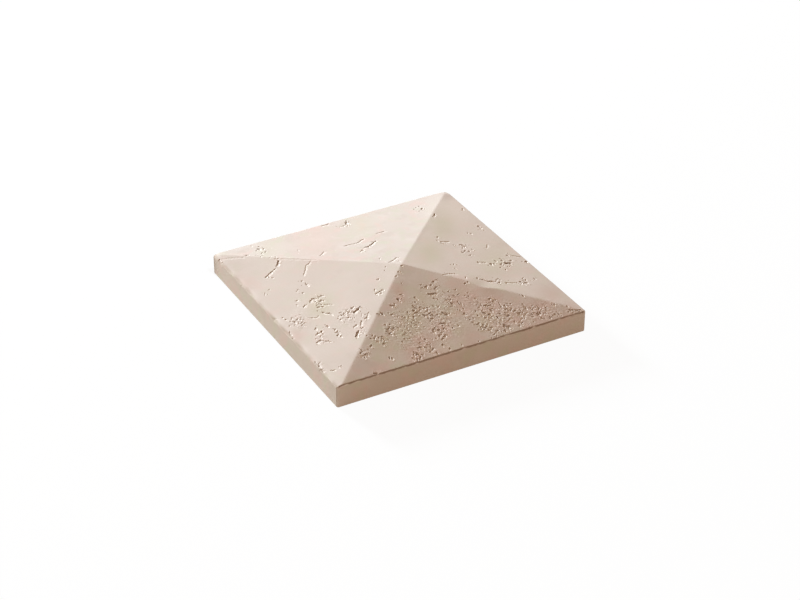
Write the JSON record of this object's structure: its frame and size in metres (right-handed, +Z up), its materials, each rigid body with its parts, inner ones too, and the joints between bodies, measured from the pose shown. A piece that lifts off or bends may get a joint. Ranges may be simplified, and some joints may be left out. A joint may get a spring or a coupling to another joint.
{
  "type": "pier cap",
  "caption": "Square cast stone cap with a straight edge band and four falls rising to a point, which closes the top of a masonry pier and sheds rain.",
  "frame": {"origin": "middle of the underside, on the bed that the cap lies on", "axes": "+Z up through the point of the cap, +X and +Y square to two of the sides"},
  "size_m": [0.5, 0.5, 0.0798],
  "materials": {
    "cast_stone": "matte"
  },
  "bodies": {
    "root": {"pier_cap": "cast_stone"}
  },
  "joints": []
}
